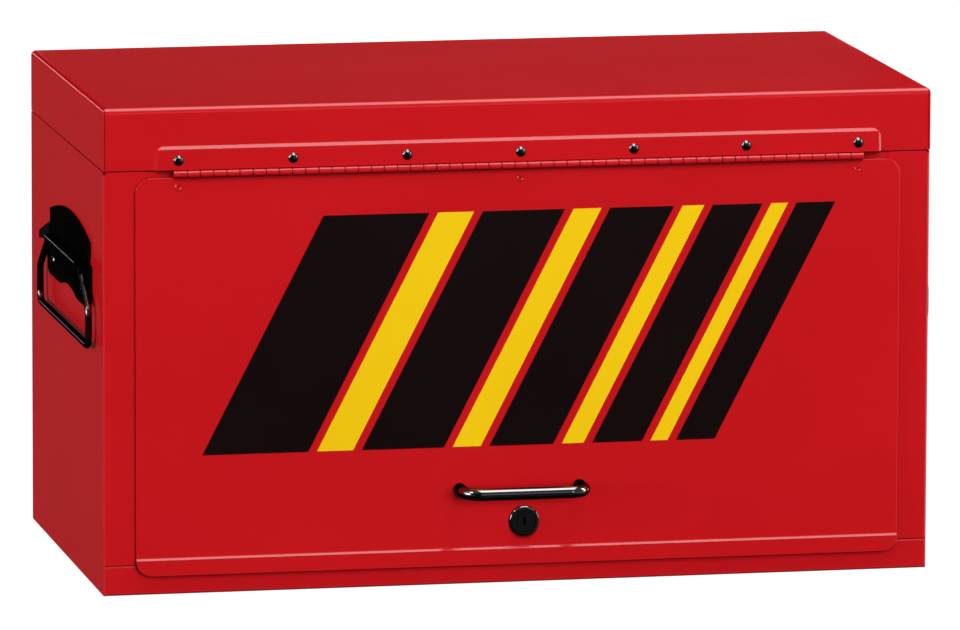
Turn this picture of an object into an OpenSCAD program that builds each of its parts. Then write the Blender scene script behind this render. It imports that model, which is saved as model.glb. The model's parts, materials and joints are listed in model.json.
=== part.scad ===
// Steel drawer chest with a lift-up lid and a front cover that hangs from the lid.
// The frame is the middle of the chest's footprint on the floor: X to the right, Y to the back, Z up.

/* [Chest] */
// Outside width of the chest
chest_w = 660; // [600:1:760]
// Outside depth of the chest, without hinges and handles
chest_d = 345; // [335:1:420]
// Height of the cabinet below the lid
body_h = 334; // [325:1:380]
// Thickness of the sheet steel
sheet = 1.2; // [0.8:0.1:1.5]
// Outside radius of the small bends in the sheet
bend_r = 2.2; // [1.8:0.1:3]
// Width of the front flange of each side panel
flange_w = 34; // [30:1:40]
// Width of the back flange of each side panel
back_flange_w = 14; // [10:1:20]
// Height of the rail across the bottom of the front
rail_h = 24; // [21:1:26]
// Depth of the rail from front to back
rail_d = 11; // [8:0.5:11.5]
// Height of the lip that hangs from the back of the rail
rail_lip = 10; // [6:1:14]
// Width of the seam between neighbouring sheets
seam = 0.2; // [0.1:0.1:0.8]

/* [Lid] */
// Height of the lid
lid_h = 49.2; // [40:0.2:80]
// Gap between the cabinet and the lid
lid_gap = 0.8; // [0.5:0.1:1.5]
// Radius of the lid's front and back bends
lid_r = 5; // [4:0.5:8]
// Width of the rim turned in from each end of the lid
lid_rim = 12; // [8:1:20]
// Radius of the round edge between the lid's top and its ends
lid_end_r = 4; // [2:0.5:6]
// Distance from each end of the lid to the raised pad that carries the front hinge
pad_side = 40; // [34:0.5:48]
// Height of the raised pad, with its bevel
pad_h = 18.4; // [18:0.2:30]
// Radius of the pad's upper corners
pad_r = 8; // [4:0.5:12]

/* [Front cover] */
// Width of the cabinet's front that shows at each side of the cover
door_side = 25; // [16:0.5:30]
// Height of the cover's lower edge above the floor
door_foot = 15.5; // [10:0.5:17]
// Radius of the cover's corners
door_r = 12; // [6:0.5:18]
// Height of the flat lip along the cover's lower edge
lip_h = 12.3; // [8:0.1:13]
// How far the lip stands in front of the cover
lip_out = 2; // [1.5:0.1:4]
// Width of the hem along each side of the cover
hem_w = 10; // [6:0.5:14]
// Width of the largest stripe on the cover
stripe_w = 84; // [40:1:90]
// Height of the stripes
stripe_h = 186; // [80:1:195]
// Sideways lean of the stripes over their height
stripe_lean = 96; // [0:1:110]

/* [Hinges] */
// Distance from each side of the chest to the ends of both piano hinges
hinge_side = 55; // [52:0.5:80]
// Number of knuckles on a hinge, an odd number
knuckles = 53; // [21:2:61]
// Outside radius of a knuckle
knuckle_r = 2.6; // [2.4:0.1:2.8]
// Radius of a hinge pin
pin_r = 1.3; // [1:0.1:1.4]
// Thickness of a hinge leaf
leaf_t = 1.2; // [1:0.1:1.4]
// Height of a leaf above or below the hinge axis
leaf_h = 16.5; // [15:0.5:17]
// Distance from the axis to the back of a leaf
leaf_back = 2.9; // [2.7:0.1:3.1]
// Distance of the fasteners from the hinge axis
fix_up = 10.4; // [9.8:0.1:11]
// Distance from a hinge's end to its first fastener
fix_end = 4; // [3.5:0.5:30]
// Radius of a hinge screw's head
screw_head_r = 4; // [3:0.1:4.5]
// Height of a hinge screw's head
screw_head_h = 2.4; // [1.6:0.1:2.5]
// Radius of a hinge screw's shank
screw_r = 2; // [1.5:0.1:2.2]

/* [Pull and lock] */
// Distance between the feet of the pull
pull_pitch = 96; // [64:1:160]
// Height of the pull above the floor
pull_up = 76.5; // [72:0.5:82]
// Distance from the cover to the middle of the pull's grip
pull_out = 30; // [22:1:36]
// Radius of the pull's bar
pull_r = 4.75; // [4:0.05:6]
// Radius of the bends of the pull, on its middle line
pull_bend = 14; // [9:0.5:16]
// Radius of the screws that hold the pull
pull_screw_r = 2.5; // [1.5:0.1:3]
// Distance of the lock to the right of the cover's middle
lock_x = 3.5; // [-10:0.5:10]
// Height of the lock above the floor
lock_up = 49.7; // [46:0.1:54]
// Radius of the lock's bezel
bezel_r = 12; // [11.8:0.1:13]
// Height of the lock's bezel
bezel_h = 3.5; // [3:0.5:9]
// Radius of the lock's barrel
barrel_r = 9.5; // [8.5:0.1:10]
// How far the barrel reaches in behind the front of the cabinet
barrel_in = 12.5; // [11.5:0.5:16]
// Radius of the plug that the key turns
plug_r = 6; // [5:0.1:6.5]
// Reach of the lock's cam from the plug's axis
cam_reach = 36; // [30:1:40]
// Width of the cam
cam_w = 13; // [10:0.5:16]

/* [Drawers] */
// Heights of the drawer fronts, from the lowest to the highest
drawer_front_h = [72, 58, 50, 45]; // [42:1:80]
// Gap above and below each drawer front
drawer_gap = 3; // [2:0.5:5]
// How far a drawer's front reaches past each side of its tray
front_over = 11.2; // [10:0.1:12.2]
// Thickness of the trays' sheet
tray_t = 1; // [0.8:0.1:1.4]
// How far the tray's rim stays below the top of its front
tray_low = 11; // [10:0.5:14]
// Length of the drawer slides
slide_l = 290; // [240:1:296]
// Travel of a drawer
drawer_travel = 190; // [120:1:190]
// Height of a drawer's grip strip
grip_h = 12; // [9:0.5:14]
// Depth of a drawer's grip strip
grip_d = 13.5; // [9:0.5:14]

/* [Side handles] */
// Height of the handles' pivots above the floor
handle_up = 247; // [200:1:250]
// Distance of the handles in front of the middle of the chest
handle_fwd = 22; // [-24:1:24]
// Half width of a handle's back plate
plate_half = 94.5; // [90:0.5:104]
// Thickness of a handle's back plate
plate_t = 1.6; // [1.2:0.1:2]
// Radius of the bail's rod
rod_r = 2.75; // [2:0.05:3]
// Half width of the bail at its grip
bail_half = 116; // [112:1:125]
// Drop of the bail's grip below its pivot
bail_drop = 55; // [52:1:80]
// Radius of the bail's bends, on its middle line
bail_bend = 9; // [6:0.5:12]

/* [Hidden] */
$fn = 48;

// Overshoot of a cutting tool past the face that it cuts
over = 1;
// Running clearance of a pin or plug in its bore
run_clear = 0.05;
// Clearance of a fastener's shank in its hole
hole_clear = 0.1;

// Paint and metal colours
red = [0.76, 0.09, 0.11];
black = [0.07, 0.06, 0.06];
steel = [0.62, 0.64, 0.66];
alloy = [0.75, 0.76, 0.78];
yellow = [0.95, 0.77, 0.05];

// Half sizes of the chest
half_w = chest_w / 2;
half_d = chest_d / 2;
inner_w = half_w - sheet;

// Widths of what the front carries
door_w = chest_w - 2 * door_side;
pad_w = chest_w - 2 * pad_side;
hinge_l = chest_w - 2 * hinge_side;

// The cover hangs one hinge leaf in front of the cabinet
leaf_gap = 0.6;
door_in = leaf_gap + leaf_t;
door_out = door_in + sheet;

// Levels of the lid, the front hinge and the cover
knuckle_clear = 0.4;
knuckle_gap = 0.8;
lid_foot = body_h + lid_gap;
lid_top = lid_foot + lid_h;
front_axis_z = lid_foot - knuckle_r - knuckle_clear;
front_axis_out = leaf_gap + leaf_back;
rear_axis_z = body_h + lid_gap / 2;
rear_axis_y = half_d + leaf_back;
door_top = front_axis_z - knuckle_r - knuckle_clear;
knuckle_pitch = hinge_l / knuckles;
fix_count = 7;
fix_pitch = (hinge_l - 2 * fix_end) / (fix_count - 1);
fixes = [for (i = [0 : fix_count - 1]) -hinge_l / 2 + fix_end + i * fix_pitch];
door_fixes = [fixes[0], fixes[3], fixes[6]];

// Heights over which the sheet steps out to the pad and to the lip
pad_run = 2.2;
lip_run = 1.5;
// Gap between the lid's cover and its end plates
lid_seam = 0.6;
// Round notch that relieves the bend at the top of each front corner
relief_r = 2;

// Fasteners
rivet_r = 1.6;
rivet_head_r = 2.9;
rivet_top_r = 2.3;
rivet_dish_r = 1.7;
rivet_head_h = 0.7;
rivet_dish_h = 0.1;
nut_h = 3.2;
recess = [0.9, 3.6, 1.3];
nut_r = 4;

// Lock, from front to back
cam_t = 2;
cam_screw_h = 2.2;
cam_screw_r = 4;
cam_screw_bore = 2.1;
cam_screw_l = 7;
lock_nut_h = 3;
lock_nut_r = 13;
key_slot = [1.6, 7, 6];
lock_end = barrel_in + run_clear * 10 + cam_t + cam_screw_h;

// The drawer fronts stay behind the lock
front_gap = 1.8;
drawer_set = lock_end + front_gap;
drawer_count = len(drawer_front_h);
front_side = 4.8;
front_half = half_w - flange_w - front_side;
tray_w = 2 * (front_half - front_over);
tray_up = 2;
tray_back_gap = 22;
grip_side = 2;

// Ball slides: sizes across the gap between a post and a tray
slide_gap = 12.7;
slide_half_h = 13.5;
slide_t = 1.2;
outer_leg = 9;
lip_leg = 0.7;
inner_half_h = 8.5;
inner_leg = 8.7;
cage_t = 0.8;
cage_off = 2.2;
cage_leg = 6.4;
ball_r = 1.6;
ball_off = 5.6;
ball_z = (slide_half_h - slide_t + inner_half_h) / 2;
balls = 5;
cage_end = 10;
cage_l = slide_l - drawer_travel - 2 * cage_end;
slide_up = 17;
slide_start = -half_d + drawer_set + sheet + 2;
slide_x = tray_w / 2 + slide_gap;

// Posts that carry the slides
post_w = 36;
post_foot = 6;
post_lead = 16;
post_tail = 50;

// Film stripes on the cover
stripe_count = 5;
stripe_fade = 0.78;
stripe_gap = 7;
stripe_foot = 110;
accent = 0.34;
film_t = 0.25;

// Till above the drawers
till_r = 6;
till_low = 0.4;
till_back = max(0, rivet_head_h - leaf_gap) + hole_clear + seam;
till_floor = rail_h + drawer_gap + sum_to(drawer_front_h, drawer_count) + drawer_count * drawer_gap;

// Handle plate, about its pivot
lobe_h = 35;
lobe_drop = 12;
wing_z = 11;
strap_half = 101;
strap_t = plate_t + 1.2;
strap_top = 6;
foot_r = 13;
foot_x = 70;
foot_z = -16;
arch_r = 160;
arch_z = -184;
pocket_half = 71;
pocket_wall = 1.2;
cover_half = 6.2;
cover_r = 3;
rod_clear = 0.35;
rod_out = strap_t + rod_clear + rod_r;
cover_out = rod_out + rod_r + rod_clear + pocket_wall;
ear_r = 22;
ear_y = plate_half - ear_r + 6;
ear_out = 10;
ear_low = -1;
ear_h = 14;
ear_tip_h = 4;
bail_knee = 26;
bail_end = 4;
handle_rivet_r = 2.4;
handle_head_r = 5.2;
handle_head_h = 2.2;

function sum_to(v, n) = n == 0 ? 0 : v[n - 1] + sum_to(v, n - 1);

// Level of the lower edge of drawer front i, counted from 0 at the bottom
function front_z(i) = rail_h + drawer_gap + sum_to(drawer_front_h, i) + i * drawer_gap;

// Y of a point that lies out in front of the cabinet
function fy(out) = -half_d - out;

// A profile drawn in Y and Z, extruded along X about the middle
module along_x(l) {
    rotate([90, 0, 90]) linear_extrude(l, center = true) children();
}

// A profile drawn in X and Z, extruded along Y from y0 to y1
module along_y(y0, y1) {
    translate([0, y1, 0]) rotate([90, 0, 0]) linear_extrude(y1 - y0) children();
}

// A rod along Y from y0 to y1
module rod_y(x, z, r, y0, y1) {
    translate([x, y1, z]) rotate([90, 0, 0]) cylinder(r = r, h = y1 - y0);
}

// Both signs of X
module both() {
    children();
    mirror([1, 0, 0]) children();
}

// The left-hand copy of a right-hand piece
module left() {
    mirror([1, 0, 0]) children();
}

// A rectangle from a low corner to a high corner
module rect(x0, y0, x1, y1) {
    translate([x0, y0]) square([x1 - x0, y1 - y0]);
}

// A rectangle with four round corners
module round_rect(x0, y0, x1, y1, r) {
    rect(x0 + r, y0, x1 - r, y1);
    rect(x0, y0 + r, x1, y1 - r);
    for (x = [x0 + r, x1 - r], y = [y0 + r, y1 - r]) translate([x, y]) circle(r);
}

// A quarter of a bent sheet, whose outside corner would be at the origin
// and whose two legs leave along sx times X and sy times Y
module bend(sx, sy) {
    translate([sx * bend_r, sy * bend_r]) intersection() {
        difference() {
            circle(bend_r);
            circle(bend_r - sheet);
        }
        rect(min(0, -sx * bend_r), min(0, -sy * bend_r), max(0, -sx * bend_r), max(0, -sy * bend_r));
    }
}

// A round bar along a flat path of points in X and Y, with round bends
function unit(v) = v / norm(v);
function turn(p, q, s) = let (a = unit(q - p), b = unit(s - q)) atan2(a.x * b.y - a.y * b.x, a * b);
function setback(p, q, s, bend_r) = bend_r * tan(abs(turn(p, q, s)) / 2);

module bar_run(p, q, r) {
    d = q - p;
    translate([p.x, p.y, 0]) rotate([0, 90, atan2(d.y, d.x)]) cylinder(r = r, h = norm(d));
}

module bar_bend(p, q, s, bend_r, r) {
    angle = turn(p, q, s);
    side = sign(angle);
    a = unit(q - p);
    start = q - a * setback(p, q, s, bend_r);
    centre = start + side * bend_r * [-a.y, a.x];
    heading = atan2(a.y, a.x);
    translate([centre.x, centre.y, 0])
        rotate(side > 0 ? heading - 90 : heading + 90 + angle)
        rotate_extrude(angle = abs(angle)) translate([bend_r, 0]) circle(r);
}

// The straight runs lap a little over the bends, which are a hair thinner
bar_lap = 0.1;
bar_thin = 0.02;
module bar(points, bend_r, r) {
    last = len(points) - 1;
    back = [for (i = [0 : last]) i == 0 || i == last ? 0
        : setback(points[i - 1], points[i], points[i + 1], bend_r) - bar_lap];
    for (i = [0 : last - 1]) {
        d = unit(points[i + 1] - points[i]);
        bar_run(points[i] + d * back[i], points[i + 1] - d * back[i + 1], r);
    }
    for (i = [1 : last - 1]) bar_bend(points[i - 1], points[i], points[i + 1], bend_r, r - bar_thin);
}

// A low domed head that rises along +Z from its seat
module dome_head(r, h) {
    rotate_extrude() intersection() {
        translate([0, h - dome_radius(r, h)]) circle(dome_radius(r, h));
        rect(0, 0, r, h);
    }
}
function dome_radius(r, h) = (r * r + h * h) / (2 * h);

// Cabinet

// Side wall with its front and back flanges, right-hand side
module side_panel() {
    difference() {
        linear_extrude(body_h) {
            rect(inner_w, -half_d + bend_r, half_w, half_d - sheet - bend_r);
            rect(half_w - flange_w, -half_d, half_w - bend_r, -half_d + sheet);
            rect(half_w - back_flange_w, half_d - 2 * sheet, half_w - bend_r, half_d - sheet);
            translate([half_w, -half_d]) bend(-1, 1);
            translate([half_w, half_d - sheet]) bend(-1, -1);
        }
        // room for the rail and the floor of the bottom pan
        translate([half_w - flange_w - over, -half_d - over, -over])
            cube([flange_w + over - sheet, bend_r + over, rail_h + seam + over]);
        translate([half_w - back_flange_w - over, half_d - sheet - bend_r, -over])
            cube([back_flange_w + over - sheet, bend_r + over, sheet + over]);
        translate([half_w, -half_d, body_h]) rotate([90, 0, 45])
            cylinder(r = relief_r, h = 4 * bend_r, center = true);
        handle_fixings() rotate([0, 90, 0])
            cylinder(r = handle_rivet_r + hole_clear, h = 4 * bend_r, center = true);
    }
}
module side_panel_right() { color(red) side_panel(); }
module side_panel_left() { color(red) left() side_panel(); }

module back_panel() {
    color(red) difference() {
        translate([-half_w, half_d - sheet, 0]) cube([chest_w, sheet, body_h]);
        for (x = fixes)
            rod_y(x, rear_axis_z - fix_up, rivet_r + hole_clear, half_d - sheet - over, half_d + over);
    }
}

// Floor of the cabinet, folded up at the front into a rail with a hanging lip
module bottom_pan() {
    wall_h = 12;
    color(red) {
        along_x(2 * inner_w) {
            rect(-half_d + bend_r, 0, half_d - sheet, sheet);
            rect(-half_d, bend_r, -half_d + sheet, rail_h - bend_r);
            rect(-half_d + bend_r, rail_h - sheet, -half_d + rail_d, rail_h);
            rect(-half_d + rail_d - sheet, rail_h - rail_lip, -half_d + rail_d, rail_h);
            translate([-half_d, 0]) bend(1, 1);
            translate([-half_d, rail_h]) bend(1, -1);
        }
        back_half = half_w - back_flange_w - seam;
        translate([-back_half, half_d - 2 * sheet, 0]) cube([2 * back_half, sheet, wall_h]);
        both() translate([inner_w - sheet, -half_d + rail_d + seam, 0])
            cube([sheet, chest_d - rail_d - seam - 2 * sheet - seam, wall_h]);
    }
}

// Open tray under the lid, whose front wall closes the cabinet above the drawers
module till_tray() {
    y0 = -half_d + sheet;
    y1 = half_d - 2 * sheet;
    face = half_w - flange_w - seam;
    color(red) translate([0, 0, till_floor]) difference() {
        linear_extrude(body_h - till_low - till_floor) {
            round_rect(-inner_w, y0, inner_w, y1, till_r);
            // front wall filled out to the flanges of the sides, just clear of the cover's rivets
            rect(-face, -half_d + till_back, face, y0 + sheet);
        }
        translate([0, 0, sheet]) linear_extrude(body_h)
            round_rect(-inner_w + sheet, y0 + sheet, inner_w - sheet, y1 - sheet, till_r - sheet);
    }
}

// Two channels on a side wall, which carry the slides
module slide_posts() {
    ys = [slide_start - post_lead, slide_start + slide_l - post_tail];
    color(steel) for (y = ys)
        translate([0, y, rail_h + post_foot]) linear_extrude(till_floor - rail_h - 2 * post_foot)
            difference() {
                rect(slide_x, 0, inner_w, post_w);
                rect(slide_x + sheet, sheet, inner_w + over, post_w - sheet);
            }
}
module slide_posts_right() { slide_posts(); }
module slide_posts_left() { left() slide_posts(); }

// Slides, drawn across from the post towards the tray

module outer_rail_profile() {
    for (s = [-1, 1]) mirror([0, s < 0 ? 1 : 0]) {
        rect(0, 0, slide_t, slide_half_h);
        rect(0, slide_half_h - slide_t, outer_leg, slide_half_h);
        rect(outer_leg - slide_t, slide_half_h - slide_t - lip_leg, outer_leg, slide_half_h);
    }
}

module inner_rail_profile() {
    for (s = [-1, 1]) mirror([0, s < 0 ? 1 : 0]) {
        rect(slide_gap - slide_t, 0, slide_gap, inner_half_h);
        rect(slide_gap - inner_leg, inner_half_h - slide_t, slide_gap, inner_half_h);
    }
}

module cage_profile() {
    rect(cage_off, -ball_z - cage_t / 2, cage_off + cage_t, ball_z + cage_t / 2);
    for (z = [-ball_z, ball_z]) rect(cage_off, z - cage_t / 2, cage_off + cage_leg, z + cage_t / 2);
}

// A slide profile of drawer i on both sides of the chest
module on_slides(i, y0, y1) {
    both() translate([slide_x, 0, front_z(i) + slide_up]) mirror([1, 0, 0]) along_y(y0, y1) children();
}

module slide_rails(i) {
    color(steel) on_slides(i, slide_start, slide_start + slide_l) outer_rail_profile();
}

module drawer_runners(i) {
    color(steel) on_slides(i, slide_start - 1, slide_start + slide_l - 1) inner_rail_profile();
}

// Strips of balls, which stay between both rails over the whole travel
module ball_cages(i) {
    mid = slide_start + slide_l / 2;
    ball_pitch = cage_l / balls;
    color(alloy) {
        on_slides(i, mid - cage_l / 2, mid + cage_l / 2) cage_profile();
        both() for (n = [0 : balls - 1], z = [-ball_z, ball_z])
            translate([slide_x - ball_off, mid + (n - (balls - 1) / 2) * ball_pitch,
                front_z(i) + slide_up + z]) sphere(ball_r);
    }
}

// Drawers

module drawer_tray(i) {
    h = drawer_front_h[i] - tray_up - tray_low;
    y0 = -half_d + drawer_set;
    y1 = half_d - tray_back_gap;
    color(red) translate([0, 0, front_z(i)]) {
        translate([-front_half, y0, 0]) cube([2 * front_half, sheet, drawer_front_h[i]]);
        translate([0, 0, tray_up]) difference() {
            translate([-tray_w / 2, y0 + sheet, 0]) cube([tray_w, y1 - y0 - sheet, h]);
            translate([-tray_w / 2 + tray_t, y0 + sheet, tray_t])
                cube([tray_w - 2 * tray_t, y1 - y0 - sheet - tray_t, h]);
        }
    }
}

// Grip strip along the top of a drawer front, hooked over at its front edge
module drawer_grip(i) {
    grip_t = 1.5;
    nose_r = 3;
    color(alloy) translate([0, -half_d + drawer_set, front_z(i) + drawer_front_h[i]])
        along_x(2 * (front_half - grip_side)) {
            rect(-grip_t, -grip_h, 0, 0);
            rect(-grip_d + nose_r, -grip_t, 0, 0);
            rect(-grip_d, -grip_h / 2, -grip_d + grip_t, -nose_r);
            translate([-grip_d + nose_r, -nose_r]) intersection() {
                difference() {
                    circle(nose_r);
                    circle(nose_r - grip_t);
                }
                rect(-nose_r, 0, 0, nose_r);
            }
            translate([-grip_d + grip_t / 2, -grip_h / 2]) circle(grip_t / 2);
        }
}

// Hinges

// One leaf about an axis along X. It stands at -Y of the axis and rises to +Z.
// Even leaves own the knuckles at both ends of the hinge.
module hinge_leaf(even, holes, hole_r) {
    root_h = knuckle_r + knuckle_clear;
    difference() {
        along_x(hinge_l) difference() {
            union() {
                rect(-leaf_back, 0, -leaf_back + leaf_t, leaf_h);
                circle(knuckle_r);
            }
            circle(pin_r + run_clear);
        }
        for (i = [even ? 1 : 0 : 2 : knuckles - 1])
            translate([(i - knuckles / 2) * knuckle_pitch - knuckle_gap / 2, -2 * knuckle_r, -2 * knuckle_r])
                cube([knuckle_pitch + knuckle_gap, 4 * knuckle_r, 2 * knuckle_r + root_h]);
        for (x = holes) rod_y(x, fix_up, hole_r, -leaf_back - over, 0);
    }
}

module hinge_pin() {
    color(steel) along_x(hinge_l) circle(pin_r);
}

// The front leaves lie behind their axis, the rear leaves in front of it
module at_front_hinge() {
    translate([0, fy(front_axis_out), front_axis_z]) rotate(180) children();
}
module at_rear_hinge() {
    translate([0, rear_axis_y, rear_axis_z]) children();
}

module front_hinge_lid_leaf() {
    color(red) at_front_hinge() hinge_leaf(true, fixes, screw_r + hole_clear);
}
module front_hinge_door_leaf() {
    color(red) at_front_hinge() mirror([0, 0, 1]) hinge_leaf(false, door_fixes, rivet_r + hole_clear);
}
module front_hinge_pin() { at_front_hinge() hinge_pin(); }

module rear_hinge_lid_leaf() {
    color(red) at_rear_hinge() hinge_leaf(true, fixes, rivet_r + hole_clear);
}
module rear_hinge_body_leaf() {
    color(red) at_rear_hinge() mirror([0, 0, 1]) hinge_leaf(false, fixes, rivet_r + hole_clear);
}
module rear_hinge_pin() { at_rear_hinge() hinge_pin(); }

// A rivet along Y through a stack from y0 in front to y1 behind, with a dished head at each end
module rivet(y0, y1) {
    rod_y(0, 0, rivet_r, y0, y1);
    translate([0, y0, 0]) rotate([90, 0, 0]) rivet_head();
    translate([0, y1, 0]) rotate([-90, 0, 0]) rivet_head();
}
module rivet_head() {
    rotate_extrude() polygon([[0, 0], [rivet_head_r, 0], [rivet_top_r, rivet_head_h],
        [rivet_dish_r, rivet_head_h], [rivet_dish_r - rivet_head_h + rivet_dish_h, rivet_dish_h],
        [0, rivet_dish_h]]);
}

module rear_rivets(z) {
    color(red) for (x = fixes) translate([x, 0, rear_axis_z + z])
        rivet(half_d - sheet, half_d + leaf_t);
}
module rear_hinge_lid_rivets() { rear_rivets(fix_up); }
module rear_hinge_body_rivets() { rear_rivets(-fix_up); }

module door_rivets() {
    color(red) for (x = door_fixes) translate([x, 0, front_axis_z - fix_up])
        rivet(fy(door_out), fy(leaf_gap));
}

// Screws through the pad of the lid, with a cross recess, and their nuts inside
module front_hinge_screws() {
    color(black) for (x = fixes) translate([x, 0, front_axis_z + fix_up]) difference() {
        union() {
            rod_y(0, 0, screw_r, fy(door_out), fy(leaf_gap - nut_h - over));
            translate([0, fy(door_out), 0]) rotate([90, 0, 0]) dome_head(screw_head_r, screw_head_h);
        }
        for (a = [0, 90]) translate([0, fy(door_out + screw_head_h), 0]) rotate([0, a, 0])
            cube([recess.x, 2 * recess.z, recess.y], center = true);
    }
}

module front_hinge_nuts() {
    color(steel) for (x = fixes) translate([x, 0, front_axis_z + fix_up]) difference() {
        translate([0, fy(leaf_gap - nut_h), 0]) rotate([90, 0, 0]) cylinder(r = nut_r, h = nut_h, $fn = 6);
        rod_y(0, 0, screw_r + hole_clear, fy(leaf_gap + over), fy(leaf_gap - nut_h - over));
    }
}

// Lid

// Section of the lid in Y and Z, square below and round above, drawn in by a distance
module lid_section(in, foot = lid_foot) {
    r = lid_r - in;
    hd = half_d - in;
    top = lid_top - in;
    rect(-hd, foot, hd, top - r);
    rect(-hd + r, foot, hd - r, top);
    for (y = [-hd + r, hd - r]) translate([y, top - r]) circle(r);
}

// The lid's outline across its width, round at the upper edges of its ends
module lid_span() {
    along_y(-half_d - over, half_d + over) {
        rect(-half_w, lid_foot, half_w, lid_top - lid_end_r);
        rect(-half_w + lid_end_r, lid_foot, half_w - lid_end_r, lid_top);
        for (x = [-half_w + lid_end_r, half_w - lid_end_r])
            translate([x, lid_top - lid_end_r]) circle(lid_end_r);
    }
}

// Pad pressed out of the lid's front, stepped on three sides, drawn in by a distance
module lid_pad(in) {
    lean = pad_run / door_out;
    back = in * sqrt(1 + lean * lean);
    half = pad_w / 2 - back;
    top = lid_foot + pad_h - back;
    r = pad_r - back;
    out = door_out - in;
    base = in > 0 ? -sheet - over : 0;
    low = in > 0 ? lid_foot - over : lid_foot;
    intersection() {
        along_x(2 * pad_w) polygon([
            [fy(base), low], [fy(out), low], [fy(out), top - lean * out], [fy(base), top - lean * base]]);
        translate([0, 0, low]) linear_extrude(2 * pad_h) polygon([
            [-half + lean * base, fy(base)], [half - lean * base, fy(base)],
            [half - lean * out, fy(out)], [-half + lean * out, fy(out)]]);
        along_y(fy(out + over), fy(base - over)) {
            rect(-half, low, half, top - r);
            rect(-half + r, low, half - r, top);
            for (x = [-half + r, half - r]) translate([x, top - r]) circle(r);
        }
    }
}

module lid_cover() {
    color(red) difference() {
        union() {
            intersection() {
                along_x(2 * (inner_w - lid_seam)) difference() {
                    lid_section(0);
                    lid_section(sheet, lid_foot - over);
                }
                lid_span();
            }
            lid_pad(0);
        }
        lid_pad(sheet);
        for (x = fixes) {
            rod_y(x, front_axis_z + fix_up, screw_r + hole_clear, fy(door_out + over), fy(0));
            rod_y(x, rear_axis_z + fix_up, rivet_r + hole_clear, half_d - sheet - over, half_d + over);
        }
    }
}

// End of the lid, with a rim that slips inside the cover
module lid_end() {
    color(red) {
        intersection() {
            translate([half_w - sheet / 2, 0, 0]) along_x(sheet) lid_section(0);
            lid_span();
        }
        translate([inner_w - lid_rim / 2, 0, 0]) along_x(lid_rim) difference() {
            lid_section(sheet + hole_clear);
            lid_section(2 * sheet + hole_clear, lid_foot - over);
        }
    }
}
module lid_end_right() { lid_end(); }
module lid_end_left() { left() lid_end(); }

// Front cover

module door_panel() {
    lip_top = door_foot + lip_h;
    step_top = lip_top + lip_run;
    fold = sheet * (norm([lip_out, lip_run]) - lip_run) / lip_out;
    color(red) difference() {
        union() {
            intersection() {
                along_x(door_w) polygon([
                    [fy(door_in), door_top], [fy(door_out), door_top],
                    [fy(door_out), step_top], [fy(door_out + lip_out), lip_top],
                    [fy(door_out + lip_out), door_foot], [fy(door_in + lip_out), door_foot],
                    [fy(door_in + lip_out), lip_top - fold], [fy(door_in), step_top - fold]]);
                along_y(fy(door_out + lip_out + over), fy(0))
                    round_rect(-door_w / 2, door_foot, door_w / 2, door_top, door_r);
            }
            // sides folded back on themselves
            both() translate([door_w / 2 - hem_w, fy(door_in), step_top + door_r])
                cube([hem_w, sheet / 2, door_top - step_top - 2 * door_r]);
        }
        for (x = door_fixes)
            rod_y(x, front_axis_z - fix_up, rivet_r + hole_clear, fy(door_out + over), fy(0));
        for (x = [-pull_pitch / 2, pull_pitch / 2])
            rod_y(x, pull_up, pull_screw_r + hole_clear, fy(door_out + over), fy(0));
        rod_y(lock_x, lock_up, barrel_r + hole_clear, fy(door_out + over), fy(0));
    }
}

// Slanted film stripes that shrink from left to right, cut to a common top and foot
function stripe_at(i) = i == 0 ? 0 : stripe_at(i - 1) + stripe_size(i - 1) * (1 + accent) + 2 * stripe_gap;
function stripe_size(i) = stripe_w * pow(stripe_fade, i);
stripe_span = stripe_at(stripe_count - 1) + stripe_size(stripe_count - 1) + stripe_lean;

module stripe(x, w) {
    translate([x - stripe_span / 2, 0, stripe_foot]) along_y(fy(door_out + film_t), fy(door_out))
        polygon([[0, 0], [w, 0], [w + stripe_lean, stripe_h], [stripe_lean, stripe_h]]);
}
module door_stripes_black() {
    color(black) for (i = [0 : stripe_count - 1]) stripe(stripe_at(i), stripe_size(i));
}
module door_stripes_yellow() {
    color(yellow) for (i = [0 : stripe_count - 2])
        stripe(stripe_at(i) + stripe_size(i) + stripe_gap, stripe_size(i) * accent);
}

module door_pull() {
    tap = 12;
    half = pull_pitch / 2;
    color(black) difference() {
        translate([0, fy(door_out), pull_up])
            bar([[-half, 0], [-half, -pull_out], [half, -pull_out], [half, 0]], pull_bend, pull_r);
        for (x = [-half, half])
            rod_y(x, pull_up, pull_screw_r + hole_clear, fy(door_out + tap), fy(door_out - over));
    }
}

module door_pull_screws() {
    head_r = 4.5;
    head_h = 2.6;
    grip = 9;
    color(steel) for (x = [-pull_pitch / 2, pull_pitch / 2]) translate([x, 0, pull_up]) {
        rod_y(0, 0, pull_screw_r, fy(door_out + grip), fy(door_in));
        translate([0, fy(door_in), 0]) rotate([-90, 0, 0]) dome_head(head_r, head_h);
    }
}

// Lock in the cover. The plug and the cam turn in the barrel.

module lock_barrel() {
    edge = 1.6;
    dish = 1.2;
    dish_r = bezel_r - 3;
    back = door_out + barrel_in;
    color(black) translate([lock_x, fy(door_out), lock_up]) rotate([90, 0, 0]) rotate_extrude() difference() {
        union() {
            rect(0, 0, bezel_r, bezel_h - edge);
            rect(0, 0, bezel_r - edge, bezel_h);
            translate([bezel_r - edge, bezel_h - edge]) circle(edge);
            rect(0, -back, barrel_r, 0);
        }
        rect(-over, -back - over, plug_r + run_clear, bezel_h + over);
        rect(-over, bezel_h - dish, dish_r, bezel_h + over);
        rect(-2 * bezel_r, -2 * back, 0, 2 * back);
    }
}

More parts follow.
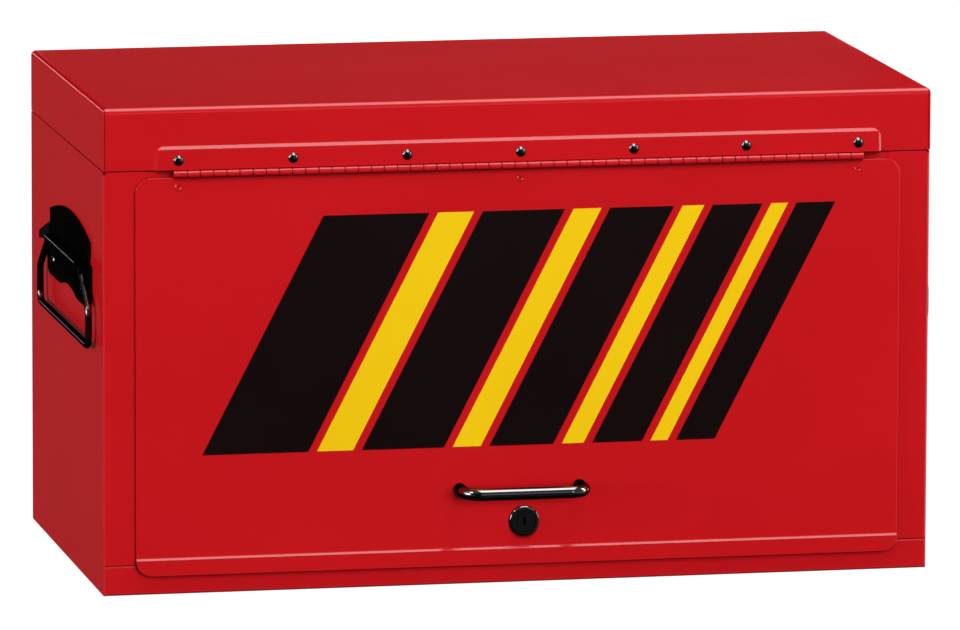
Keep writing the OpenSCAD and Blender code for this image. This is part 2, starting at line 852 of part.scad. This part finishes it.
module lock_nut() {
    color(steel) translate([lock_x, 0, lock_up]) difference() {
        translate([0, fy(door_in - lock_nut_h), 0]) rotate([90, 0, 0])
            cylinder(r = lock_nut_r, h = lock_nut_h, $fn = 6);
        rod_y(0, 0, barrel_r + hole_clear, fy(door_in + over), fy(door_in - lock_nut_h - over));
    }
}

module lock_plug() {
    face = door_out + bezel_h - 0.4;
    tail = barrel_in + run_clear * 10;
    color(black) translate([lock_x, 0, lock_up]) difference() {
        rod_y(0, 0, plug_r, fy(face), fy(-tail));
        translate([-key_slot.x / 2, fy(face + over), -key_slot.y / 2])
            cube([key_slot.x, key_slot.z + over, key_slot.y]);
        rod_y(0, 0, cam_screw_bore, fy(-tail + 8), fy(-tail - over));
    }
}

module lock_cam() {
    near = barrel_in + run_clear * 10;
    tip_r = cam_w / 2;
    color(steel) translate([lock_x, 0, lock_up]) along_y(fy(-near), fy(-near - cam_t)) difference() {
        union() {
            circle(tip_r);
            rect(0, -tip_r, cam_reach - tip_r, tip_r);
            translate([cam_reach - tip_r, 0]) circle(tip_r);
        }
        circle(cam_screw_bore);
    }
}

module lock_cam_screw() {
    near = barrel_in + run_clear * 10 + cam_t;
    color(steel) translate([lock_x, 0, lock_up]) {
        rod_y(0, 0, cam_screw_bore - hole_clear, fy(-near + cam_t + cam_screw_l), fy(-near));
        translate([0, fy(-near), 0]) rotate([-90, 0, 0]) dome_head(cam_screw_r, cam_screw_h);
    }
}

// Side handles, drawn about the pivot with X pointing out of the chest

module at_handle() {
    translate([half_w, -handle_fwd, handle_up]) children();
}

// Places of the rivets in a handle's feet
module handle_fixings() {
    at_handle() for (y = [-foot_x, foot_x]) translate([0, y, foot_z]) children();
}

// Back plate, arched above, with its lower corners cut off
module plate_outline() {
    top_r = (plate_half * plate_half + lobe_drop * lobe_drop) / (2 * lobe_drop);
    intersection() {
        polygon([[-foot_x, 0], [-plate_half, wing_z], [-plate_half, lobe_h],
            [plate_half, lobe_h], [plate_half, wing_z], [foot_x, 0]]);
        translate([0, lobe_h - top_r]) circle(top_r, $fn = 160);
    }
}

// Strap over the back plate, round at its feet and arched between them
module strap_outline() {
    foot = strap_half - foot_r;
    difference() {
        union() {
            rect(-strap_half, foot_z, strap_half, strap_top);
            rect(-foot, foot_z - foot_r, foot, foot_z);
            for (y = [-foot, foot]) translate([y, foot_z]) circle(foot_r);
        }
        translate([0, arch_z]) circle(arch_r, $fn = 160);
    }
}

module handle_plate() {
    color(black) at_handle() difference() {
        union() {
            translate([plate_t / 2, 0, 0]) along_x(plate_t) plate_outline();
            translate([strap_t / 2, 0, 0]) along_x(strap_t) strap_outline();
            // fold of the strap that holds the bail's rod
            along_y(-pocket_half, pocket_half) {
                rect(0, -cover_half, cover_out - cover_r, cover_half);
                rect(0, -cover_half + cover_r, cover_out, cover_half - cover_r);
                for (z = [-1, 1])
                    translate([cover_out - cover_r, z * (cover_half - cover_r)]) circle(cover_r);
            }
            // ears beside the rod
            for (s = [0, 1]) mirror([0, s, 0]) ear();
        }
        rod_y(rod_out, 0, rod_r + rod_clear, -pocket_half - over, pocket_half + over);
        for (y = [-foot_x, foot_x]) translate([0, y, foot_z]) rotate([0, 90, 0])
            cylinder(r = handle_rivet_r + hole_clear, h = 4 * strap_t, center = true);
    }
}
module handle_plate_right() { handle_plate(); }
module handle_plate_left() { left() handle_plate(); }

// Curled end of the plate, tall at the wall and low at its tip
module ear() {
    intersection() {
        translate([ear_r, ear_y, ear_low]) linear_extrude(ear_h) intersection() {
            difference() {
                circle(ear_r, $fn = 96);
                circle(ear_r - plate_t, $fn = 96);
            }
            rect(-ear_r, 0, -ear_r + ear_out, ear_r);
        }
        along_y(0, strap_half) polygon([[-over, ear_low], [ear_out + over, ear_low],
            [ear_out + over, ear_tip_h], [plate_t, ear_h], [-over, ear_h]]);
    }
}

module handle_rivets() {
    color(black) both() handle_fixings() {
        rotate([0, 90, 0]) translate([0, 0, -sheet]) cylinder(r = handle_rivet_r, h = sheet + strap_t);
        translate([strap_t, 0, 0]) rotate([0, 90, 0]) dome_head(handle_head_r, handle_head_h);
        translate([-sheet, 0, 0]) rotate([0, -90, 0]) dome_head(handle_head_r, handle_head_h);
    }
}

// Rod bent into a loop, whose two ends are held in the plate's channel
module bail() {
    knee = pocket_half + bail_bend * tan(25) + 2;
    color(black) at_handle() translate([rod_out, 0, 0]) rotate([90, 0, 90]) bar([
        [bail_end, 0], [knee, 0], [bail_half, -bail_knee], [bail_half, -bail_drop],
        [-bail_half, -bail_drop], [-bail_half, -bail_knee], [-knee, 0], [-bail_end, 0]],
        bail_bend, rod_r);
}
module bail_right() { bail(); }
module bail_left() { left() bail(); }

side_panel_left();
side_panel_right();
back_panel();
bottom_pan();
till_tray();
slide_posts_left();
slide_posts_right();
rear_hinge_body_leaf();
rear_hinge_body_rivets();
handle_plate_left();
handle_plate_right();
handle_rivets();
bail_left();
bail_right();
lid_cover();
lid_end_left();
lid_end_right();
rear_hinge_lid_leaf();
rear_hinge_lid_rivets();
rear_hinge_pin();
front_hinge_lid_leaf();
front_hinge_pin();
front_hinge_screws();
front_hinge_nuts();
door_panel();
front_hinge_door_leaf();
door_rivets();
door_stripes_black();
door_stripes_yellow();
door_pull();
door_pull_screws();
lock_barrel();
lock_nut();
lock_plug();
lock_cam();
lock_cam_screw();
for (i = [0 : drawer_count - 1]) {
    slide_rails(i);
    drawer_tray(i);
    drawer_grip(i);
    drawer_runners(i);
    ball_cages(i);
}
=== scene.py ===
import json
import math

import bpy
from mathutils import Matrix, Vector

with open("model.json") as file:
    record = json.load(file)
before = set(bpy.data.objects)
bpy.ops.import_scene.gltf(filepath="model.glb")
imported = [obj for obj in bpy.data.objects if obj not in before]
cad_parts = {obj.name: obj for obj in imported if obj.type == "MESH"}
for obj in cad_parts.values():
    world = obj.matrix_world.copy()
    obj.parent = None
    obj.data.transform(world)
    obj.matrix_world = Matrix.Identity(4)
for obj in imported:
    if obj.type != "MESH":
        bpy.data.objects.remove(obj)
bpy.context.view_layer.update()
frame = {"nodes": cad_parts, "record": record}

# Camera: angles in degrees, place and clip in metres, lens and sensor in millimetres
CAMERA_YAW = 11.755
CAMERA_PITCH = 9.2494
CAMERA_ROLL = 0.1893
CAMERA_PLACE = (-1.6359, -7.8826, 1.4960)
CAMERA_LENS = 382.7
SENSOR_WIDTH = 36.0
CLIP_NEAR = 0.1
CLIP_FAR = 200

# Lamps: place, aim, width and height in metres, and power in watts
MIDDLE = (0, 0, 0.19)
LAMPS = {
    "key": ((0.6, -4.4, 1.0), MIDDLE, (2.8, 1.4), 130),
    "back_fill": ((0.3, 4.0, 0.25), MIDDLE, (2.0, 0.4), 60),
    "left_fill": ((-3.7, -0.8, 0.8), MIDDLE, (1.8, 1.4), 67),
    "overhead": ((0.44, -0.47, 2.3), (0.44, -0.2, 0.38), (1.5, 2.0), 25),
    "right_strip": ((2.2, -0.25, 0.8), (0.3, -0.2, 0.3), (0.5, 1.6), 15),
    "left_strip": ((-2.1, -0.8, 2.2), (-0.3, -0.2, 0.3), (0.6, 0.6), 9),
}

# Floor and dome: half the floor's side in metres, its colour under the lamps, strengths of glow,
# and the span of height in which the horizon's white ends
FLOOR_HALF = 60.0
FLOOR_GREY = (0.12, 0.12, 0.12, 1)
FLOOR_WHITE = 0.97
HORIZON_WHITE = 1.0
DOME = 0.12
HORIZON_SPAN = (0.05, 0.1)

# Colours, linear
RED = (0.575, 0.0085, 0.0125)
RED_DEEP = (0.545, 0.0072, 0.0108)
BLACK = (0.0030, 0.0025, 0.0025)
BLACK_DEEP = (0.0018, 0.0015, 0.0015)
BLACK_FILM = (0.0058, 0.0020, 0.0020)
FILM_DEEP = (0.0050, 0.0017, 0.0017)
YELLOW = (0.93, 0.60, 0.006)
YELLOW_DEEP = (0.90, 0.57, 0.005)
ZINC = (0.50, 0.51, 0.52)
ALLOY = (0.60, 0.61, 0.62)
CHROME = (0.70, 0.70, 0.71)

# Noise: the span that most of its values lie in, and the scales of its uses
NOISE_SPAN = (0.3, 0.7)
PAINT_CLOUDS = 7.0
PAINT_WEAR = 60.0
PAINT_PEEL = 420.0
FILM_CLOUDS = 9.0
FILM_WEAR = 90.0
FILM_PEEL = 500.0
METAL_LINES = 60.0

# Bump heights in metres
PAINT_BUMP = 0.000008
FILM_BUMP = 0.00001
METAL_BUMP = 0.00004

# Bends: the fourth powers of a normal's parts add up to 1 on flats square to the axes, and to less
# on bends, slopes and corners
BEND_SPAN = (0.94, 0.995)

# Pressed slopes: the greatest part of their normal, how close to it counts, how far they face the front,
# the turn forward of those that rise and of those that face sideways, and the span from one to the other
SLOPE_PART = 0.803
SLOPE_SPAN = (0.012, 0.02)
SLOPE_FRONT = -0.5
SLOPE_TURN = (-0.215, -0.484)
SLOPE_WIDE = (0.0, 0.8)

# Painted shade: the paint's colour is darkened in seams and under ledges, where light from above can't get
# at.
# How far it looks in metres, how much it looks up, the open share from dark to open, the span over which
# faces that turn sideways are spared, and the share of the deep colour left in the painted shade
PAINTED_SHADE_REACH = 0.012
PAINTED_SHADE_LIFT = 1.7
PAINTED_SHADE_SAMPLES = 12
PAINTED_SHADE_SPAN = (0.36, 0.5)
PAINTED_SHADE_SIDE = (0.5, 0.9)
PAINTED_SHADE_TONE = 0.25

# Gloss of paint: the spans of Facing, or of a part of the normal, over which it changes, its shares there,
# and the swing of its roughness
FLAT_SPAN = (0.1, 0.7)
HEAD_ON_SHARE = 0.05
HEAD_ON_SPAN = (0.035, 0.08)
FAR_SPAN = (0.5, 0.72)
RIM_RISE = 0.45
RIM_SPAN = (0.05, 0.1)
LEFT_RIGHT_SHARES = (0.3, 3.0)
LEFT_RIGHT_SPAN = (-0.4, 0.4)
RISE_SPAN = (0.05, 0.4)
UNDER_SPAN = (-0.35, -0.05)
PAINT_ROUGH = 0.02

# Film and bare metal: roughness, gloss, how dull the lines are, and their swing of roughness
FILM_ROUGH = (0.34, 0.42)
FILM_GLOSS = 0.015
METAL_DULL = 0.82
METAL_ROUGH = (-0.06, 0.08)

# Rounded edges: widths and weld distance in metres, angles in degrees
SHEET_EDGE = 0.0004
LID_EDGE = 0.0008
EDGE_STEPS = 3
EDGE_ANGLE = 25
FLAT_ANGLE = 1
WELD = 0.00005


def node(tree, kind, inputs=None, **settings):
    """A new shader node; an input takes a value or the socket that feeds it."""
    made = tree.nodes.new(kind)
    for key, value in settings.items():
        setattr(made, key, value)
    for key, value in (inputs or {}).items():
        if isinstance(value, bpy.types.NodeSocket):
            tree.links.new(value, made.inputs[key])
        else:
            made.inputs[key].default_value = value
    return made


def blank_material(name):
    """A material with an empty node tree."""
    made = bpy.data.materials.new(name)
    made.use_nodes = True
    made.node_tree.nodes.clear()
    return made


def principled(tree, inputs):
    """The one surface shader of a material, wired to its output."""
    shader = node(tree, "ShaderNodeBsdfPrincipled", inputs)
    node(tree, "ShaderNodeOutputMaterial", {"Surface": shader.outputs["BSDF"]})


def place(tree, stretch=(1, 1, 1)):
    """Coordinates in metres in the piece's own frame, scaled per axis."""
    spot = node(tree, "ShaderNodeTexCoord")
    scaled = node(tree, "ShaderNodeMapping", {"Vector": spot.outputs["Object"], "Scale": stretch})
    return scaled.outputs["Vector"]


def noise(tree, where, scale, detail=2.0, rough=0.5):
    """A noise value between 0 and 1."""
    made = node(tree, "ShaderNodeTexNoise",
                {"Vector": where, "Scale": scale, "Detail": detail, "Roughness": rough})
    return made.outputs["Fac"]


def between(tree, value, low, high, span=NOISE_SPAN):
    """A number from low to high as value goes over span."""
    made = node(tree, "ShaderNodeMapRange",
                {"Value": value, "From Min": span[0], "From Max": span[1], "To Min": low, "To Max": high})
    return made.outputs["Result"]


def mixed(tree, share, first, second):
    """A colour from first to second, each a colour or a socket, as share goes from 0 to 1."""
    made = node(tree, "ShaderNodeMix", {"Factor": share}, data_type="RGBA")
    for key, colour in (("A", first), ("B", second)):
        if isinstance(colour, bpy.types.NodeSocket):
            tree.links.new(colour, made.inputs[key])
        else:
            made.inputs[key].default_value = (*colour, 1)
    return made.outputs["Result"]


def clouded(tree, value, first, second):
    """A colour from first to second by a noise value."""
    return mixed(tree, between(tree, value, 0.0, 1.0), first, second)


def math_of(tree, kind, first, second=0.0):
    """A number worked out from two numbers or sockets."""
    return node(tree, "ShaderNodeMath", {0: first, 1: second}, operation=kind).outputs["Value"]


def vector_of(tree, kind, first, second=(0, 0, 0)):
    """A vector worked out from two vectors."""
    return node(tree, "ShaderNodeVectorMath", {0: first, 1: second}, operation=kind).outputs["Vector"]


def parts_of(tree, vector):
    """The three parts of a vector."""
    parts = node(tree, "ShaderNodeSeparateXYZ", {"Vector": vector}).outputs
    return parts["X"], parts["Y"], parts["Z"]


def along(tree, axis, value):
    """A vector of that length along one axis."""
    return node(tree, "ShaderNodeCombineXYZ", {axis: value}).outputs["Vector"]


def bump(tree, height, distance, normal=None):
    """A normal bumped by height."""
    inputs = {"Height": height, "Distance": distance}
    if normal is not None:
        inputs["Normal"] = normal
    return node(tree, "ShaderNodeBump", inputs).outputs["Normal"]


def own_normal(tree):
    """The normal in the piece's own frame."""
    return node(tree, "ShaderNodeTexCoord").outputs["Normal"]


def world_normal(tree):
    """The normal in the world."""
    return node(tree, "ShaderNodeNewGeometry").outputs["Normal"]


def on_edge(tree):
    """1 on bends, slopes and corners and 0 on flats, from the normal in the piece's own frame."""
    lie = own_normal(tree)
    square = vector_of(tree, "MULTIPLY", lie, lie)
    size = node(tree, "ShaderNodeVectorMath", {0: square, 1: square}, operation="DOT_PRODUCT")
    return between(tree, size.outputs["Value"], 1.0, 0.0, BEND_SPAN)


def pressed_normal(tree):
    """The normal, with the slopes of pressed forms on the front turned a little forward, as if round."""
    lie = own_normal(tree)
    across, ahead, rise = parts_of(tree, lie)
    wide = math_of(tree, "ABSOLUTE", across)
    most = math_of(tree, "MAXIMUM", wide, rise)
    off = math_of(tree, "ABSOLUTE", math_of(tree, "SUBTRACT", most, SLOPE_PART))
    slope = math_of(tree, "MULTIPLY", between(tree, off, 1.0, 0.0, SLOPE_SPAN),
                    math_of(tree, "LESS_THAN", ahead, SLOPE_FRONT))
    turn = math_of(tree, "MULTIPLY", slope, between(tree, wide, *SLOPE_TURN, SLOPE_WIDE))
    turned = vector_of(tree, "ADD", lie, along(tree, "Y", turn))
    made = node(tree, "ShaderNodeVectorTransform", {"Vector": vector_of(tree, "NORMALIZE", turned)},
                vector_type="NORMAL", convert_from="OBJECT", convert_to="WORLD")
    return made.outputs["Vector"]


def painted_shade(tree):
    """Painted shade: 1 deep in seams and under ledges and 0 in the open, where light from above can't get
    at.
    """
    lie = world_normal(tree)
    across, _, rise = parts_of(tree, lie)
    upright = math_of(tree, "SUBTRACT", 1.0, math_of(tree, "ABSOLUTE", rise))
    lift = along(tree, "Z", math_of(tree, "MULTIPLY", upright, PAINTED_SHADE_LIFT))
    aim = vector_of(tree, "NORMALIZE", vector_of(tree, "ADD", lie, lift))
    sky = node(tree, "ShaderNodeAmbientOcclusion", {"Distance": PAINTED_SHADE_REACH, "Normal": aim},
               samples=PAINTED_SHADE_SAMPLES)
    dark = between(tree, sky.outputs["AO"], 1.0, 0.0, PAINTED_SHADE_SPAN)
    wide = math_of(tree, "ABSOLUTE", across)
    return math_of(tree, "MULTIPLY", dark, between(tree, wide, 1.0, 0.0, PAINTED_SHADE_SIDE))


def bend_gloss(tree, facing, most, below, fade, far_span):
    """The gloss of bends: most where they face up, little where they face the eye, none facing down.

    Below is the share of it on upright bends, which the left ones have less of and the right ones more.
    Far_span is the span of Facing over which bends that turn away from the eye lose it. Those whose normal
    rises by about RIM_RISE keep the share fade.
    """
    tilt = parts_of(tree, world_normal(tree))[2]
    ends = [share * below * most for share in LEFT_RIGHT_SHARES]
    upright = between(tree, parts_of(tree, own_normal(tree))[0], *ends, LEFT_RIGHT_SPAN)
    rim = math_of(tree, "ABSOLUTE", math_of(tree, "SUBTRACT", tilt, RIM_RISE))
    far = between(tree, rim, fade, 0.0, RIM_SPAN)
    gloss = between(tree, tilt, upright, most, RISE_SPAN)
    for share in (between(tree, facing, HEAD_ON_SHARE, 1.0, HEAD_ON_SPAN),
                  between(tree, facing, 1.0, far, far_span),
                  between(tree, tilt, 0.0, 1.0, UNDER_SPAN)):
        gloss = math_of(tree, "MULTIPLY", gloss, share)
    return gloss


def paint(name, colour, deep, flat_gloss, edge_gloss, rough, ior, below, fade, far_span=FAR_SPAN):
    """Sprayed enamel: faint clouds in the colour, orange peel, painted shade in seams and under ledges,
    and a gloss that is stronger on the bends.

    Flat_gloss is that of flats seen head on and seen at a slant. Edge_gloss, below, fade and far_span are
    those of bend_gloss.
    """
    made = blank_material(name)
    tree = made.node_tree
    where = place(tree)
    clouds = clouded(tree, noise(tree, where, PAINT_CLOUDS, detail=3.0), colour, deep)
    peel = noise(tree, where, PAINT_PEEL)
    facing = node(tree, "ShaderNodeLayerWeight", {"Blend": 0.5}).outputs["Facing"]
    flat = between(tree, facing, *flat_gloss, FLAT_SPAN)
    edge = bend_gloss(tree, facing, edge_gloss, below, fade, far_span)
    level = node(tree, "ShaderNodeMix", {"Factor": on_edge(tree), "A": flat, "B": edge})
    wear = noise(tree, where, PAINT_WEAR)
    principled(tree, {
        # painted shade: the colour darkens toward a quarter of its deep tone in seams and under ledges
        "Base Color": mixed(tree, painted_shade(tree), clouds, [PAINTED_SHADE_TONE * c for c in deep]),
        "Roughness": between(tree, wear, rough - PAINT_ROUGH, rough + PAINT_ROUGH),
        "IOR": ior,
        "Specular IOR Level": level.outputs["Result"],
        "Normal": bump(tree, peel, PAINT_BUMP, pressed_normal(tree)),
    })
    return made


def brushed(name, colour, stretch, rough):
    """Bare metal with fine lines along the axis that stretch scales least."""
    made = blank_material(name)
    tree = made.node_tree
    lines = noise(tree, place(tree, stretch), METAL_LINES, detail=4.0, rough=0.65)
    principled(tree, {
        "Base Color": clouded(tree, lines, colour, [METAL_DULL * c for c in colour]),
        "Metallic": 1.0,
        "Roughness": between(tree, lines, *(rough + step for step in METAL_ROUGH)),
        "Normal": bump(tree, lines, METAL_BUMP),
    })
    return made


def film(name, colour, deep):
    """Printed film with a low gloss."""
    made = blank_material(name)
    tree = made.node_tree
    where = place(tree)
    principled(tree, {
        "Base Color": clouded(tree, noise(tree, where, FILM_CLOUDS, detail=3.0), colour, deep),
        "Roughness": between(tree, noise(tree, where, FILM_WEAR), *FILM_ROUGH),
        "Specular IOR Level": FILM_GLOSS,
        "Normal": bump(tree, noise(tree, where, FILM_PEEL), FILM_BUMP),
    })
    return made


MATERIALS = {
    "red_paint": paint("red_paint", RED, RED_DEEP, flat_gloss=(0.02, 0.0002), edge_gloss=0.85,
                       rough=0.18, ior=1.5, below=0.3, fade=0.1),
    "black_enamel": paint("black_enamel", BLACK, BLACK_DEEP, flat_gloss=(0.012, 0.0), edge_gloss=1.0,
                          rough=0.16, ior=2.2, below=0.03, fade=0.015, far_span=(0.28, 0.48)),
    "black_chrome": paint("black_chrome", BLACK, BLACK_DEEP, flat_gloss=(0.014, 0.0), edge_gloss=1.0,
                          rough=0.10, ior=2.4, below=0.02, fade=0.0),
    "black_film": film("black_film", BLACK_FILM, FILM_DEEP),
    "yellow_film": film("yellow_film", YELLOW, YELLOW_DEEP),
    "zinc_steel": brushed("zinc_steel", ZINC, stretch=(6, 1, 6), rough=0.34),
    "grip_alloy": brushed("grip_alloy", ALLOY, stretch=(0.3, 8, 8), rough=0.3),
    "ball_steel": brushed("ball_steel", CHROME, stretch=(1, 1, 1), rough=0.16),
}


def dress():
    """Gives every CAD node the finish of its slot."""
    for row in frame["record"]["subparts"]:
        piece = frame["nodes"][row["node"]]
        piece.data.materials.clear()
        piece.data.materials.append(MATERIALS[row["material_slot"]])


def soften(names, width, clamp=True):
    """Rounds the sharp edges of CAD nodes a little, as bent and painted sheet has them."""
    for name in names:
        piece = frame["nodes"][name]
        weld = piece.modifiers.new("weld", "WELD")
        weld.merge_threshold = WELD
        flat = piece.modifiers.new("flat", "DECIMATE")
        flat.decimate_type = "DISSOLVE"
        flat.angle_limit = math.radians(FLAT_ANGLE)
        edge = piece.modifiers.new("edge", "BEVEL")
        edge.width = width
        edge.segments = EDGE_STEPS
        edge.use_clamp_overlap = clamp
        edge.limit_method = "ANGLE"
        edge.angle_limit = math.radians(EDGE_ANGLE)
        edge.harden_normals = True
        piece.modifiers.new("shade", "WEIGHTED_NORMAL").keep_sharp = True


def white_for_eye(tree, seen, lighting):
    """Strength `seen` for camera, glossy and transmission rays, and `lighting` for the rest."""
    path = node(tree, "ShaderNodeLightPath")
    kinds = ("Is Camera Ray", "Is Glossy Ray", "Is Transmission Ray")
    share = path.outputs[kinds[0]]
    for kind in kinds[1:]:
        share = math_of(tree, "MAXIMUM", share, path.outputs[kind])
    return between(tree, share, lighting, seen, (0.0, 1.0))


def add_floor():
    """A pale floor that reads white to the eye and in reflections and keeps a soft shadow."""
    mesh = bpy.data.meshes.new("floor")
    turns = ((-1, -1), (1, -1), (1, 1), (-1, 1))
    mesh.from_pydata([(FLOOR_HALF * x, FLOOR_HALF * y, 0) for x, y in turns], [], [(0, 1, 2, 3)])
    floor = bpy.data.objects.new("floor", mesh)
    bpy.context.scene.collection.objects.link(floor)
    made = blank_material("floor")
    tree = made.node_tree
    grey = node(tree, "ShaderNodeBsdfDiffuse", {"Color": FLOOR_GREY})
    glow = node(tree, "ShaderNodeEmission", {"Strength": white_for_eye(tree, FLOOR_WHITE, 0.0)})
    both = node(tree, "ShaderNodeAddShader", {0: grey.outputs["BSDF"], 1: glow.outputs["Emission"]})
    node(tree, "ShaderNodeOutputMaterial", {"Surface": both.outputs["Shader"]})
    mesh.materials.append(made)


def add_world():
    """A dim even dome, with a white band at the horizon where the floor ends."""
    world = bpy.data.worlds.new("studio")
    world.use_nodes = True
    tree = world.node_tree
    tree.nodes.clear()
    height = parts_of(tree, node(tree, "ShaderNodeTexCoord").outputs["Generated"])[2]
    strength = between(tree, height, HORIZON_WHITE, DOME, HORIZON_SPAN)
    glow = node(tree, "ShaderNodeBackground", {"Strength": strength})
    node(tree, "ShaderNodeOutputWorld", {"Surface": glow.outputs["Background"]})
    bpy.context.scene.world = world


def add_lamp(name, spot, aim, size, power):
    """A rectangular soft lamp at spot that faces aim; size is width and height in metres."""
    lamp = bpy.data.lights.new(name, "AREA")
    lamp.shape = "RECTANGLE"
    lamp.size, lamp.size_y = size
    lamp.energy = power
    holder = bpy.data.objects.new(name, lamp)
    holder.location = spot
    holder.rotation_euler = (Vector(aim) - Vector(spot)).to_track_quat("-Z", "Y").to_euler()
    holder.visible_camera = False
    bpy.context.scene.collection.objects.link(holder)


def add_camera():
    """The camera at the photograph's angle, with a long lens."""
    yaw, pitch, roll = (math.radians(v) for v in (CAMERA_YAW, CAMERA_PITCH, CAMERA_ROLL))
    ahead = Vector((math.sin(yaw) * math.cos(pitch), math.cos(yaw) * math.cos(pitch), -math.sin(pitch)))
    right = Vector((math.cos(yaw), -math.sin(yaw), 0))
    up = right.cross(ahead)
    across = right * math.cos(roll) + up * math.sin(roll)
    upright = up * math.cos(roll) - right * math.sin(roll)
    data = bpy.data.cameras.new("camera")
    data.sensor_fit = "HORIZONTAL"
    data.sensor_width = SENSOR_WIDTH
    data.lens = CAMERA_LENS
    data.clip_start = CLIP_NEAR
    data.clip_end = CLIP_FAR
    camera = bpy.data.objects.new("camera", data)
    turn = Matrix((across, upright, -ahead)).transposed().to_4x4()
    camera.matrix_world = Matrix.Translation(CAMERA_PLACE) @ turn
    bpy.context.scene.collection.objects.link(camera)
    bpy.context.scene.camera = camera


dress()

# The door's panel needs its bevel unclamped, because its small faces would hold the width at nothing
soften(["door_panel"], SHEET_EDGE, clamp=False)
soften(["lid_cover"], LID_EDGE)
soften(["lid_end_left", "lid_end_right", "side_panel_left", "side_panel_right", "bottom_pan"], SHEET_EDGE)

add_floor()
add_world()
for lamp_name, lamp_row in LAMPS.items():
    add_lamp(lamp_name, *lamp_row)
add_camera()
bpy.context.scene.view_settings.view_transform = "Standard"
